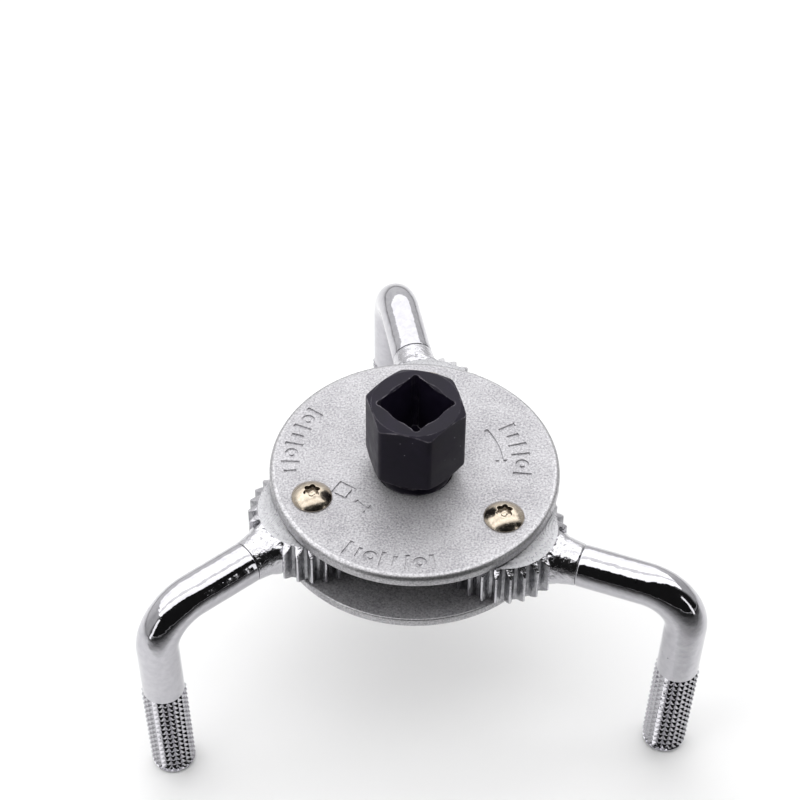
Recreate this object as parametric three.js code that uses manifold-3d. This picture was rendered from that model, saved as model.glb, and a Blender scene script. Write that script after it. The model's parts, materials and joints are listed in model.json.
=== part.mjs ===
// Three-leg, gear-coupled oil filter wrench.
//
// Two round plates hold three pivot posts. On each post turns a gear with a forged neck, and a
// bent, knurled leg is welded to that neck. A sun gear on the drive spindle meshes with all
// three leg gears, so turning the spindle swings the three legs in or out together.
//
// Millimetres, +Z up. The origin is the centre of the spindle's lower end face, which meets the
// closed end of the filter; the legs point down and the drive socket points up.

import * as THREE from 'three';
import { mergeVertices } from 'three/addons/utils/BufferGeometryUtils.js';
import Module from 'manifold-3d';

const wasm = await Module();
wasm.setup();

// ---------------------------------------------------------------- driving dimensions

// Plates
const PLATE_RADIUS = 34.3;
const PLATE_THICKNESS = 3;
const PLATE_FILLET = 1.2;
const PLATE_GAP = 12.2;
const PLATE_UNDERSIDE = 2.8;

// Gear train
const GEAR_MODULE = 1;
const SUN_TEETH = 24;
const LEG_GEAR_TEETH = 28;
const PRESSURE_ANGLE = THREE.MathUtils.degToRad(20);
const BACKLASH = 0.3;
const GEAR_THICKNESS = 11.4;
const TOOTH_CHAMFER_DEPTH = 2.25;
const TOOTH_CHAMFER_ANGLE = THREE.MathUtils.degToRad(31);

// Pivots and legs
const LEG_COUNT = 3;
const FIRST_PIVOT_AZIMUTH = 90;
const LEG_LEAN = 17.5;
const LEG_PLAY = [0.8, -0.7, -0.4];
const LEG_REACH = 44.1;
const LEG_RADIUS = 5;
const LEG_BEND_RADIUS = 10.7;
const LEG_BEND_ANGLE = THREE.MathUtils.degToRad(92);
const LEG_END_HEIGHT = -43.3;
const LEG_END_CHAMFER = 0.8;
const KNURL_RADIUS = 5.35;
const KNURL_LENGTH = 28.8;
const WELD_GAP = 0.3;

// Forged neck between a leg gear and its leg
const NECK_START = 10;
const NECK_ROOT = 13.8;
const NECK_END = 19.2;
const NECK_ROOT_RADIUS = 6.1;
const NECK_HALF_HEIGHT = 5.5;

// Drive spindle
const HEX_ACROSS_FLATS = 21;
const HEX_HEIGHT = 17.45;
const HEX_CLEARANCE = 4.1;
const HEX_TOP_CHAMFER = 1.8;
const HEX_BOTTOM_CHAMFER = 1.6;
const HEX_AZIMUTH = -7.2;
const SQUARE_SIDE = 12.7;
const SQUARE_DEPTH = 17;
const SQUARE_AZIMUTH = 7.8;
const SQUARE_RELIEF_RADIUS = 0.9;
const SOCKET_LEAD_IN = 0.6;
const NECK_JOURNAL_RADIUS = 8.9;
const SHANK_ACROSS_FLATS = 14;
const LOWER_JOURNAL_RADIUS = 6;

// Retaining ring on the spindle's lower end
const RING_THICKNESS = 1.2;
const RING_OUTER_RADIUS = 8;
const RING_GROOVE_RADIUS = 5.3;
const RING_GAP_ANGLE = 50;

// Pivot posts and their button-head screws
const POST_RADIUS = 5;
const SCREW_RADIUS = 2.5;
const SCREW_DEPTH = 5;
const SCREW_HEAD_RADIUS = 4.75;
const SCREW_HEAD_HEIGHT = 2.6;
const SCREW_RECESS_DEPTH = 1.5;
const TORX_OUTER_RADIUS = 2.2;
const TORX_INNER_RADIUS = 1.6;
const TORX_LOBES = 6;

// Running clearance between pieces that touch or turn on each other
const CLEARANCE = 0.3;

// ---------------------------------------------------------------- derived dimensions

const GAP_FLOOR = PLATE_UNDERSIDE + PLATE_THICKNESS;
const GAP_CEILING = GAP_FLOOR + PLATE_GAP;
const PLATE_TOP = GAP_CEILING + PLATE_THICKNESS;
const GEAR_MIDDLE = GAP_FLOOR + PLATE_GAP / 2;
const GEAR_FLOOR = GEAR_MIDDLE - GEAR_THICKNESS / 2;
const GEAR_CEILING = GEAR_MIDDLE + GEAR_THICKNESS / 2;
const SUN_PITCH_RADIUS = GEAR_MODULE * SUN_TEETH / 2;
const LEG_GEAR_PITCH_RADIUS = GEAR_MODULE * LEG_GEAR_TEETH / 2;
const PIVOT_RADIUS = SUN_PITCH_RADIUS + LEG_GEAR_PITCH_RADIUS;
const HEX_BOTTOM = PLATE_TOP + HEX_CLEARANCE;
const HEX_TOP = HEX_BOTTOM + HEX_HEIGHT;

// ---------------------------------------------------------------- materials

const finish = (color, roughness, metalness) =>
  new THREE.MeshStandardMaterial({ color, roughness, metalness });

const materials = {
  plate: () => finish(0xb9babc, 0.42, 0.9),
  spindle: () => finish(0x2a282d, 0.55, 0.5),
  gear: () => finish(0xc8c9cc, 0.3, 1),
  leg: () => finish(0xdfe1e4, 0.08, 1),
  screw: () => finish(0xcdbfa8, 0.22, 1),
  hardware: () => finish(0x8f9094, 0.35, 1),
};

// ---------------------------------------------------------------- solid helpers

const radians = THREE.MathUtils.degToRad;

// A closed geometry as a manifold solid, turned inside out first if its faces point inwards.
function solid(geometry) {
  const bare = geometry.clone();
  bare.deleteAttribute('normal');
  bare.deleteAttribute('uv');
  const merged = mergeVertices(bare, 1e-4);
  const position = merged.attributes.position;
  const corners = [new THREE.Vector3(), new THREE.Vector3(), new THREE.Vector3()];
  const triangles = [];
  let volume = 0;
  for (let i = 0; i < merged.index.count; i += 3) {
    const triangle = [0, 1, 2].map((k) => merged.index.getX(i + k));
    if (new Set(triangle).size < 3) continue;
    triangle.forEach((vertex, k) => corners[k].fromBufferAttribute(position, vertex));
    volume += corners[0].dot(corners[1].clone().cross(corners[2]));
    triangles.push(triangle);
  }
  if (volume < 0) triangles.forEach((triangle) => triangle.reverse());
  return new wasm.Manifold(new wasm.Mesh({
    numProp: 3,
    vertProperties: Float32Array.from(position.array),
    triVerts: Uint32Array.from(triangles.flat()),
  }));
}

function geometryOf(body) {
  const mesh = body.getMesh();
  const geometry = new THREE.BufferGeometry();
  geometry.setAttribute('position', new THREE.BufferAttribute(mesh.vertProperties, 3));
  geometry.setIndex(new THREE.BufferAttribute(mesh.triVerts, 1));
  return geometry;
}

// A solid of revolution about +Z from [radius, z] points that start and end on the axis.
function turned(profile, segments) {
  const points = profile.map(([radius, z]) => new THREE.Vector2(radius, z));
  return solid(new THREE.LatheGeometry(points, segments).rotateX(Math.PI / 2));
}

function cylinder(radius, floor, ceiling, segments) {
  return turned([[0, floor], [radius, floor], [radius, ceiling], [0, ceiling]], segments);
}

// An outline in the XY plane extruded from floor to ceiling.
function extruded(shape, floor, ceiling) {
  const options = { depth: ceiling - floor, bevelEnabled: false, curveSegments: 10 };
  return solid(new THREE.ExtrudeGeometry(shape, options).translate(0, 0, floor));
}

function polygonShape(sides, acrossFlats, azimuth) {
  const cornerRadius = acrossFlats / 2 / Math.cos(Math.PI / sides);
  const points = Array.from({ length: sides }, (_, k) => {
    const angle = radians(azimuth) + k * 2 * Math.PI / sides;
    return new THREE.Vector2(cornerRadius * Math.cos(angle), cornerRadius * Math.sin(angle));
  });
  return new THREE.Shape(points);
}

function piece(name, body, material) {
  const mesh = new THREE.Mesh(geometryOf(body), material);
  mesh.name = name;
  return mesh;
}

// ---------------------------------------------------------------- spur gears

// Half the angle of a tooth at a radius: involute above the base circle, radial below it.
function toothHalfAngle(radius, teeth) {
  const pitchRadius = GEAR_MODULE * teeth / 2;
  const baseRadius = pitchRadius * Math.cos(PRESSURE_ANGLE);
  const involute = (angle) => Math.tan(angle) - angle;
  const pressure = Math.acos(Math.min(1, baseRadius / Math.max(radius, baseRadius)));
  const atPitch = Math.PI / (2 * teeth) - BACKLASH / 2 / pitchRadius;
  return atPitch + involute(PRESSURE_ANGLE) - involute(pressure);
}

// A spur gear blank with one tooth centred at toothAngle. Each tooth's two ends are chamfered by
// one flat facet, so the blank's outline is a chamfered prism with a side for every tooth.
function spurGear(teeth, toothAngle) {
  const pitchRadius = GEAR_MODULE * teeth / 2;
  const tipRadius = pitchRadius + GEAR_MODULE;
  const rootRadius = pitchRadius - 1.25 * GEAR_MODULE;
  const flank = [rootRadius, pitchRadius, tipRadius];
  const points = [];
  for (let tooth = 0; tooth < teeth; tooth += 1) {
    const centre = toothAngle + tooth * 2 * Math.PI / teeth;
    const rising = flank.map((radius) => [radius, centre - toothHalfAngle(radius, teeth)]);
    const falling = flank.map((radius) => [radius, centre + toothHalfAngle(radius, teeth)]);
    for (const [radius, angle] of [...rising, ...falling.reverse()]) {
      points.push(new THREE.Vector2(radius * Math.cos(angle), radius * Math.sin(angle)));
    }
  }
  const blank = extruded(new THREE.Shape(points), GEAR_FLOOR, GEAR_CEILING);
  const beyond = tipRadius + 0.2;
  const drop = (TOOTH_CHAMFER_DEPTH + 0.2) * Math.tan(TOOTH_CHAMFER_ANGLE);
  const outline = turned([
    [0, GEAR_FLOOR],
    [tipRadius - TOOTH_CHAMFER_DEPTH, GEAR_FLOOR],
    [beyond, GEAR_FLOOR + drop],
    [beyond, GEAR_CEILING - drop],
    [tipRadius - TOOTH_CHAMFER_DEPTH, GEAR_CEILING],
    [0, GEAR_CEILING],
  ], teeth);
  const facetTurn = THREE.MathUtils.radToDeg(toothAngle + Math.PI / teeth);
  return blank.intersect(outline.rotate([0, 0, facetTurn]));
}

// ---------------------------------------------------------------- plates

// A round plate between two heights, its outer edge rounded on the face away from the gears.
function plate(floor, roundedFace) {
  const rim = [];
  for (let step = 0; step <= 3; step += 1) {
    const angle = step * Math.PI / 6;
    const radius = PLATE_RADIUS - PLATE_FILLET * (1 - Math.cos(angle));
    rim.push([radius, PLATE_THICKNESS - PLATE_FILLET * (1 - Math.sin(angle))]);
  }
  const outline = [[0, 0], [PLATE_RADIUS, 0], ...rim, [0, PLATE_THICKNESS]];
  const heights = roundedFace === 'top' ? outline
    : outline.map(([radius, z]) => [radius, PLATE_THICKNESS - z]);
  return turned(heights.map(([radius, z]) => [radius, z + floor]), 60);
}

function pivotPosition(index) {
  const azimuth = radians(FIRST_PIVOT_AZIMUTH + index * 360 / LEG_COUNT);
  return [PIVOT_RADIUS * Math.cos(azimuth), PIVOT_RADIUS * Math.sin(azimuth)];
}

function drilled(body, spindleHoleRadius) {
  let result = body.subtract(cylinder(spindleHoleRadius, 0, PLATE_TOP + 1, 32));
  for (let index = 0; index < LEG_COUNT; index += 1) {
    const hole = cylinder(SCREW_RADIUS + CLEARANCE, 0, PLATE_TOP + 1, 16);
    result = result.subtract(hole.translate([...pivotPosition(index), 0]));
  }
  return result;
}

function topPlate() {
  return drilled(plate(GAP_CEILING, 'top'), NECK_JOURNAL_RADIUS + CLEARANCE);
}

function bottomPlate() {
  return drilled(plate(PLATE_UNDERSIDE, 'bottom'), LOWER_JOURNAL_RADIUS + CLEARANCE);
}

// ---------------------------------------------------------------- drive spindle and sun gear

// Hexagon head with a blind square socket, round neck, hexagonal shank and lower journal.
function driveSpindle() {
  const cornerRadius = HEX_ACROSS_FLATS / Math.sqrt(3);
  const chamferSlope = Math.tan(radians(30));
  const head = extruded(polygonShape(6, HEX_ACROSS_FLATS, HEX_AZIMUTH), HEX_BOTTOM, HEX_TOP);
  const headOutline = turned([
    [0, HEX_BOTTOM],
    [cornerRadius - HEX_BOTTOM_CHAMFER, HEX_BOTTOM],
    [cornerRadius, HEX_BOTTOM + HEX_BOTTOM_CHAMFER * chamferSlope],
    [cornerRadius, HEX_TOP - HEX_TOP_CHAMFER * chamferSlope],
    [cornerRadius - HEX_TOP_CHAMFER, HEX_TOP],
    [0, HEX_TOP],
  ], 36);
  const neckFloor = GEAR_CEILING + CLEARANCE;
  const shankFloor = GEAR_FLOOR;
  const grooveCeiling = PLATE_UNDERSIDE - CLEARANCE + 0.1;
  const grooveFloor = grooveCeiling - RING_THICKNESS - 0.2;
  const neck = cylinder(NECK_JOURNAL_RADIUS, neckFloor, HEX_BOTTOM + 1, 32);
  const shank = extruded(polygonShape(6, SHANK_ACROSS_FLATS, 0), shankFloor, neckFloor + 1);
  const journal = turned([
    [0, 0],
    [LOWER_JOURNAL_RADIUS - 0.5, 0],
    [LOWER_JOURNAL_RADIUS, 0.5],
    [LOWER_JOURNAL_RADIUS, grooveFloor],
    [RING_GROOVE_RADIUS, grooveFloor],
    [RING_GROOVE_RADIUS, grooveCeiling],
    [LOWER_JOURNAL_RADIUS, grooveCeiling],
    [LOWER_JOURNAL_RADIUS, shankFloor + 1],
    [0, shankFloor + 1],
  ], 24);
  const body = head.intersect(headOutline).add(neck).add(shank).add(journal);
  return body.subtract(squareSocket());
}

// The square drive hole with relieved corners, a conical lead-in and a drill point below it.
function squareSocket() {
  const floor = HEX_TOP - SQUARE_DEPTH;
  const ceiling = HEX_TOP + 1;
  const halfDiagonal = SQUARE_SIDE / Math.SQRT2;
  let socket = extruded(polygonShape(4, SQUARE_SIDE, SQUARE_AZIMUTH), floor, ceiling);
  const leadInRadius = SQUARE_SIDE / 2 + SOCKET_LEAD_IN;
  socket = socket.add(turned([
    [0, HEX_TOP - SOCKET_LEAD_IN],
    [SQUARE_SIDE / 2, HEX_TOP - SOCKET_LEAD_IN],
    [leadInRadius, HEX_TOP],
    [leadInRadius, ceiling],
    [0, ceiling],
  ], 28));
  socket = socket.add(turned([
    [0, floor - 2.6],
    [SQUARE_SIDE / 2 - 0.4, floor],
    [SQUARE_SIDE / 2 - 0.4, floor + 1],
    [0, floor + 1],
  ], 16));
  for (let corner = 0; corner < 4; corner += 1) {
    const angle = radians(SQUARE_AZIMUTH + corner * 90);
    const reach = halfDiagonal - SQUARE_RELIEF_RADIUS;
    const relief = cylinder(SQUARE_RELIEF_RADIUS, floor, ceiling, 8);
    socket = socket.add(relief.translate([reach * Math.cos(angle), reach * Math.sin(angle), 0]));
  }
  return socket;
}

// The sun gear's phase matches the leg gears: a leg-gear tooth stands on each leg's own axis,
// so the gear's phase on the line of centres follows from the lean of the legs at rest. Each
// leg's own play is within the backlash.
function sunGear() {
  const legGearPitch = 360 / LEG_GEAR_TEETH;
  const towardsSun = 180 - LEG_LEAN;
  const toothPastLine = Math.ceil(towardsSun / legGearPitch) * legGearPitch - towardsSun;
  const gapPastLine = toothPastLine - legGearPitch / 2;
  const sunToothAngle = FIRST_PIVOT_AZIMUTH - gapPastLine * LEG_GEAR_TEETH / SUN_TEETH;
  const bore = polygonShape(6, SHANK_ACROSS_FLATS + 2 * CLEARANCE, 0);
  const gear = spurGear(SUN_TEETH, radians(sunToothAngle));
  return gear.subtract(extruded(bore, GEAR_FLOOR - 1, GEAR_CEILING + 1));
}

// An open external ring that sits in the spindle's groove under the bottom plate.
function retainingRing() {
  const ceiling = PLATE_UNDERSIDE - CLEARANCE;
  const floor = ceiling - RING_THICKNESS;
  const innerRadius = RING_GROOVE_RADIUS + CLEARANCE;
  const halfGap = radians(RING_GAP_ANGLE / 2);
  const outline = new THREE.Shape();
  outline.absarc(0, 0, RING_OUTER_RADIUS, halfGap, 2 * Math.PI - halfGap, false);
  outline.absarc(0, 0, innerRadius, 2 * Math.PI - halfGap, halfGap, true);
  return extruded(outline, floor, ceiling);
}

// ---------------------------------------------------------------- leg gears and legs

// Built about its own pivot with the leg along +X; one tooth is centred on the leg's axis.
function legGear() {
  const neckProfile = [
    [0, NECK_START],
    [NECK_ROOT_RADIUS, NECK_START],
    [NECK_ROOT_RADIUS, NECK_ROOT],
    [LEG_RADIUS + 0.4, NECK_ROOT + 1.8],
    [LEG_RADIUS + 0.2, NECK_END],
    [0, NECK_END],
  ];
  const slab = solid(new THREE.BoxGeometry(40, 40, 2 * NECK_HALF_HEIGHT));
  const neck = turned(neckProfile, 20).rotate([0, 90, 0]).intersect(slab)
    .translate([0, 0, GEAR_MIDDLE]);
  const bore = cylinder(POST_RADIUS + CLEARANCE, GEAR_FLOOR - 1, GEAR_CEILING + 1, 28);
  return spurGear(LEG_GEAR_TEETH, 0).add(neck).subtract(bore);
}

// The leg's centreline: out along the gear's middle plane, round the bend, straight down to
// the foot. The bend is a little over a right angle, so the feet draw in.
const BEND_DROP = LEG_BEND_RADIUS * (1 - Math.cos(LEG_BEND_ANGLE));
const BEND_REACH = LEG_BEND_RADIUS * Math.sin(LEG_BEND_ANGLE);
const SHANK_LENGTH = (GEAR_MIDDLE - BEND_DROP - LEG_END_HEIGHT) / Math.sin(LEG_BEND_ANGLE);
const BEND_START = LEG_REACH - BEND_REACH - SHANK_LENGTH * Math.cos(LEG_BEND_ANGLE);

class LegAxis extends THREE.Curve {
  getPoint(t, target = new THREE.Vector3()) {
    const level = BEND_START - NECK_END - WELD_GAP;
    const bend = LEG_BEND_RADIUS * LEG_BEND_ANGLE;
    const drop = SHANK_LENGTH - KNURL_LENGTH + 1;
    const along = t * (level + bend + drop);
    if (along <= level) return target.set(BEND_START - level + along, 0, GEAR_MIDDLE);
    const angle = Math.min((along - level) / LEG_BEND_RADIUS, LEG_BEND_ANGLE);
    const past = Math.max(0, along - level - bend);
    const x = BEND_START + LEG_BEND_RADIUS * Math.sin(angle) + past * Math.cos(angle);
    const z = GEAR_MIDDLE - LEG_BEND_RADIUS * (1 - Math.cos(angle)) - past * Math.sin(angle);
    return target.set(x, 0, z);
  }
}

function leg() {
  const section = new THREE.Shape();
  section.absarc(0, 0, LEG_RADIUS, 0, 2 * Math.PI, false);
  const options = { steps: 22, curveSegments: 8, extrudePath: new LegAxis() };
  const rod = solid(new THREE.ExtrudeGeometry(section, options));
  const grip = turned([
    [0, 0],
    [KNURL_RADIUS - LEG_END_CHAMFER, 0],
    [KNURL_RADIUS, LEG_END_CHAMFER],
    [KNURL_RADIUS, KNURL_LENGTH],
    [0, KNURL_LENGTH],
  ], 24);
  const tilt = THREE.MathUtils.radToDeg(LEG_BEND_ANGLE) - 90;
  return rod.add(grip.rotate([0, tilt, 0]).translate([LEG_REACH, 0, LEG_END_HEIGHT]));
}

// ---------------------------------------------------------------- pivot posts and screws

function pivotPost() {
  const post = cylinder(POST_RADIUS, GAP_FLOOR, GAP_CEILING, 24);
  const thread = SCREW_RADIUS + CLEARANCE;
  const reach = SCREW_DEPTH - PLATE_THICKNESS + CLEARANCE;
  const upper = cylinder(thread, GAP_CEILING - reach, GAP_CEILING + 1, 16);
  const lower = cylinder(thread, GAP_FLOOR - 1, GAP_FLOOR + reach, 16);
  return post.subtract(upper).subtract(lower);
}

// A button-head screw with a six-lobe recess, its head's underside at z = 0 and pointing up.
function buttonScrew() {
  const domeSteps = 3;
  const dome = Array.from({ length: domeSteps + 1 }, (_, k) => {
    const angle = k / domeSteps * Math.PI / 2;
    const height = 0.4 + (SCREW_HEAD_HEIGHT - 0.4) * Math.sin(angle);
    return [2.6 + (SCREW_HEAD_RADIUS - 2.6) * Math.cos(angle), height];
  });
  const outline = [
    [0, -SCREW_DEPTH],
    [SCREW_RADIUS - 0.5, -SCREW_DEPTH],
    [SCREW_RADIUS, 0.5 - SCREW_DEPTH],
    [SCREW_RADIUS, 0],
    [SCREW_HEAD_RADIUS, 0],
    ...dome,
    [0, SCREW_HEAD_HEIGHT],
  ];
  const lobeSteps = 3 * TORX_LOBES;
  const lobes = Array.from({ length: lobeSteps }, (_, k) => {
    const angle = k / lobeSteps * 2 * Math.PI;
    const wave = (1 + Math.cos(TORX_LOBES * angle)) / 2;
    const radius = TORX_INNER_RADIUS + (TORX_OUTER_RADIUS - TORX_INNER_RADIUS) * wave;
    return new THREE.Vector2(radius * Math.cos(angle), radius * Math.sin(angle));
  });
  const recessFloor = SCREW_HEAD_HEIGHT - SCREW_RECESS_DEPTH;
  const recess = extruded(new THREE.Shape(lobes), recessFloor, SCREW_HEAD_HEIGHT + 1);
  return turned(outline, 20).subtract(recess);
}

// ---------------------------------------------------------------- assembly

const group = new THREE.Group();

group.add(piece('top_plate', topPlate(), materials.plate()));
group.add(piece('bottom_plate', bottomPlate(), materials.plate()));
group.add(piece('drive_spindle', driveSpindle(), materials.spindle()));
group.add(piece('sun_gear', sunGear(), materials.hardware()));
group.add(piece('retaining_ring', retainingRing(), materials.hardware()));

for (let index = 0; index < LEG_COUNT; index += 1) {
  const number = index + 1;
  const [x, y] = pivotPosition(index);

  const station = new THREE.Group();
  station.position.set(x, y, 0);
  station.rotation.z = radians(FIRST_PIVOT_AZIMUTH + index * 360 / LEG_COUNT);
  group.add(station);

  station.add(piece(`pivot_post_${number}`, pivotPost(), materials.hardware()));

  const upperScrew = piece(`top_screw_${number}`, buttonScrew(), materials.screw());
  upperScrew.position.z = PLATE_TOP;
  station.add(upperScrew);

  const lowerScrew = piece(`bottom_screw_${number}`, buttonScrew(), materials.screw());
  lowerScrew.rotation.x = Math.PI;
  lowerScrew.position.z = PLATE_UNDERSIDE;
  station.add(lowerScrew);

  const arm = new THREE.Group();
  arm.rotation.z = radians(LEG_LEAN + LEG_PLAY[index]);
  station.add(arm);
  arm.add(piece(`leg_gear_${number}`, legGear(), materials.gear()));
  arm.add(piece(`leg_${number}`, leg(), materials.leg()));
}

export default group;
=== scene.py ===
"""Three-leg, gear-coupled oil filter wrench: the detailed pieces, materials, light and camera.

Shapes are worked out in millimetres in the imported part's own frame and stored in metres.
"""

import json
import math

import bmesh
import bpy
from mathutils import Matrix, Vector, noise


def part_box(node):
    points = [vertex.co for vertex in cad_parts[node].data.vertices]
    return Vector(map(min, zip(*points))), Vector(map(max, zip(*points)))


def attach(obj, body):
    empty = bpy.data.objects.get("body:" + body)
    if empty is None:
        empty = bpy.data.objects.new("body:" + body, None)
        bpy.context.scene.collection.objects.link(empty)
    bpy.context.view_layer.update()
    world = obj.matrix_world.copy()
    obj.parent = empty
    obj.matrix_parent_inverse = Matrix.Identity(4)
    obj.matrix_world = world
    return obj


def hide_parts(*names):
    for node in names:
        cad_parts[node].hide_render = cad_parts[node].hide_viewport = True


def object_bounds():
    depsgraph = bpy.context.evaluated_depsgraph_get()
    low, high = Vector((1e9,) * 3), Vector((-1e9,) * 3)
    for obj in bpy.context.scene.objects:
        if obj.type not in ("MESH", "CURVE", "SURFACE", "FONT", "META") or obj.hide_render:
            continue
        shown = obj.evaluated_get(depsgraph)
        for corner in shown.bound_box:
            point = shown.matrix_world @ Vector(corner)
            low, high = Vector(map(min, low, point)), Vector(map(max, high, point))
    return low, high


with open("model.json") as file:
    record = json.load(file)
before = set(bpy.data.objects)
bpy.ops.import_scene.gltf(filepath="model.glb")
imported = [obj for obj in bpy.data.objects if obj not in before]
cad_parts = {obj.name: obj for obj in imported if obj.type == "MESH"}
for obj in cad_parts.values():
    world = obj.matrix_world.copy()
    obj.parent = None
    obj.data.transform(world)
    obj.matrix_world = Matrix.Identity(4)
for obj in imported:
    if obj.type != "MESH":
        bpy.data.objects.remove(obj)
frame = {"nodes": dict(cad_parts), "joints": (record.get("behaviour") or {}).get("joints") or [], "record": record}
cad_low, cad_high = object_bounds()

MM = 0.001
TAU = 2 * math.pi
LEGS = (1, 2, 3)


# ------------------------------------------------------------------ sizes from the frame

def box_mm(node):
    low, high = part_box(node)
    return low / MM, high / MM


mounts = {mount["name"]: mount for mount in frame["record"]["mounts"]}
joints = {joint["name"]: joint for joint in frame["joints"]}

top_low, top_high = box_mm("top_plate")
bottom_low, _ = box_mm("bottom_plate")
gear_low, gear_high = box_mm("sun_gear")
spindle_low, spindle_high = box_mm("drive_spindle")
ring_low, ring_high = box_mm("retaining_ring")
screw_low, screw_high = box_mm("top_screw_1")

PLATE_RADIUS = top_high.x
PLATE_THICKNESS = top_high.z - top_low.z
GEAR_FLOOR = gear_low.z
GEAR_CEILING = gear_high.z
GEAR_MIDDLE = (GEAR_FLOOR + GEAR_CEILING) / 2
PIVOTS = [Vector(joints[f"arm_{leg}_swing"]["pos_m"]) / MM for leg in LEGS]
FEET = [Vector(mounts[f"foot_{leg}"]["pos_m"]) / MM for leg in LEGS]
LEG_REACH = (FEET[0].xy - PIVOTS[0].xy).length
LEG_END = FEET[0].z
HEX_TOP = spindle_high.z


def arm_matrix(index):
    """Places a piece built about the origin, its leg along +X, on its pivot."""
    pivot = PIVOTS[index]
    along = FEET[index].xy - pivot.xy
    turn = Matrix.Rotation(math.atan2(along.y, along.x), 4, "Z")
    return Matrix.Translation(Vector((pivot.x, pivot.y, 0)) * MM) @ turn


def pivot_matrix(index, height, upside_down=False):
    """Places a screw at a height on its pivot, turned over for the lower plate."""
    pivot = PIVOTS[index]
    turn = Matrix.Rotation(math.atan2(pivot.y, pivot.x), 4, "Z")
    flip = Matrix.Rotation(math.pi if upside_down else 0, 4, "X")
    return Matrix.Translation(Vector((pivot.x, pivot.y, height)) * MM) @ turn @ flip


# ------------------------------------------------------------------ mesh helpers

def new_object(name, points, faces):
    """A mesh object from points in millimetres, its normals pointing out."""
    mesh = bpy.data.meshes.new(name)
    mesh.from_pydata([Vector(p) * MM for p in points], [], faces)
    obj = bpy.data.objects.new(name, mesh)
    bpy.context.scene.collection.objects.link(obj)
    tidy_mesh(obj)
    return obj


def tidy_mesh(obj, merge=1e-6):
    """Joins points closer than merge metres and turns the normals outwards."""
    bm = bmesh.new()
    bm.from_mesh(obj.data)
    bmesh.ops.remove_doubles(bm, verts=bm.verts, dist=merge)
    bmesh.ops.dissolve_degenerate(bm, edges=bm.edges, dist=merge / 4)
    bmesh.ops.recalc_face_normals(bm, faces=bm.faces)
    bm.to_mesh(obj.data)
    bm.free()


def turned(name, profile, segments=96):
    """A solid of revolution about Z from [radius, z] points that close on themselves."""
    points, faces = [], []
    count = len(profile)
    for k in range(segments):
        angle = k / segments * TAU
        points += [(r * math.cos(angle), r * math.sin(angle), z) for r, z in profile]
    for k in range(segments):
        here, there = k * count, (k + 1) % segments * count
        for i in range(count):
            j = (i + 1) % count
            if profile[i][0] < 1e-9 and profile[j][0] < 1e-9:
                continue
            faces.append((here + i, there + i, there + j, here + j))
    return new_object(name, points, faces)


def prism(name, outline, floor, ceiling):
    """An outline of (x, y) points extruded from floor to ceiling."""
    count = len(outline)
    points = [(x, y, floor) for x, y in outline] + [(x, y, ceiling) for x, y in outline]
    faces = [tuple(range(count)), tuple(range(count, 2 * count))]
    faces += [(i, (i + 1) % count, count + (i + 1) % count, count + i) for i in range(count)]
    return new_object(name, points, faces)


def apply_modifiers(obj):
    depsgraph = bpy.context.evaluated_depsgraph_get()
    mesh = bpy.data.meshes.new_from_object(obj.evaluated_get(depsgraph))
    old = obj.data
    mesh.name = obj.name
    obj.modifiers.clear()
    obj.data = mesh
    bpy.data.meshes.remove(old)
    return obj


def boolean(obj, other, operation):
    """Cuts, joins or intersects obj with other, and removes other."""
    modifier = obj.modifiers.new("boolean", "BOOLEAN")
    modifier.operation = operation
    modifier.solver = "EXACT"
    modifier.object = other
    apply_modifiers(obj)
    bpy.data.objects.remove(other)
    tidy_mesh(obj)
    return obj


def bevel(obj, width, angle, segments=2):
    """Rounds every edge sharper than angle degrees."""
    modifier = obj.modifiers.new("bevel", "BEVEL")
    modifier.width = width * MM
    modifier.segments = segments
    modifier.limit_method = "ANGLE"
    modifier.angle_limit = math.radians(angle)
    modifier.use_clamp_overlap = True
    return apply_modifiers(obj)


def smooth(obj, angle=32):
    """Smooth shading with sharp edges; faces level with Z stay exactly flat."""
    mesh = obj.data
    mesh.polygons.foreach_set("use_smooth", [True] * len(mesh.polygons))
    mesh.set_sharp_from_angle(angle=math.radians(angle))
    bm = bmesh.new()
    bm.from_mesh(mesh)
    for edge in bm.edges:
        if any(abs(face.normal.z) > 0.9999 for face in edge.link_faces):
            edge.smooth = False
    bm.to_mesh(mesh)
    bm.free()
    return obj


def arc(radius, start, end, steps, centre=(0, 0)):
    """Points along an arc between two angles in degrees."""
    angles = [math.radians(start + (end - start) * k / steps) for k in range(steps + 1)]
    return [(centre[0] + radius * math.cos(a), centre[1] + radius * math.sin(a)) for a in angles]


def rounded_polygon(sides, across_flats, azimuth, corner, steps=6):
    """A regular polygon's outline with its corners rounded to a radius."""
    to_centre = (across_flats / 2 - corner) / math.cos(math.pi / sides)
    points = []
    for k in range(sides):
        angle = azimuth + k * 360 / sides
        centre = (to_centre * math.cos(math.radians(angle)),
                  to_centre * math.sin(math.radians(angle)))
        points += arc(corner, angle - 180 / sides, angle + 180 / sides, steps, centre)
    return points


def finish_piece(obj, nodes, body, materials):
    """Gives a piece its materials and body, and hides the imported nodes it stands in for."""
    for material in materials:
        obj.data.materials.append(material)
    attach(obj, body)
    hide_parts(*nodes)
    return obj


# ------------------------------------------------------------------ materials

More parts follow.
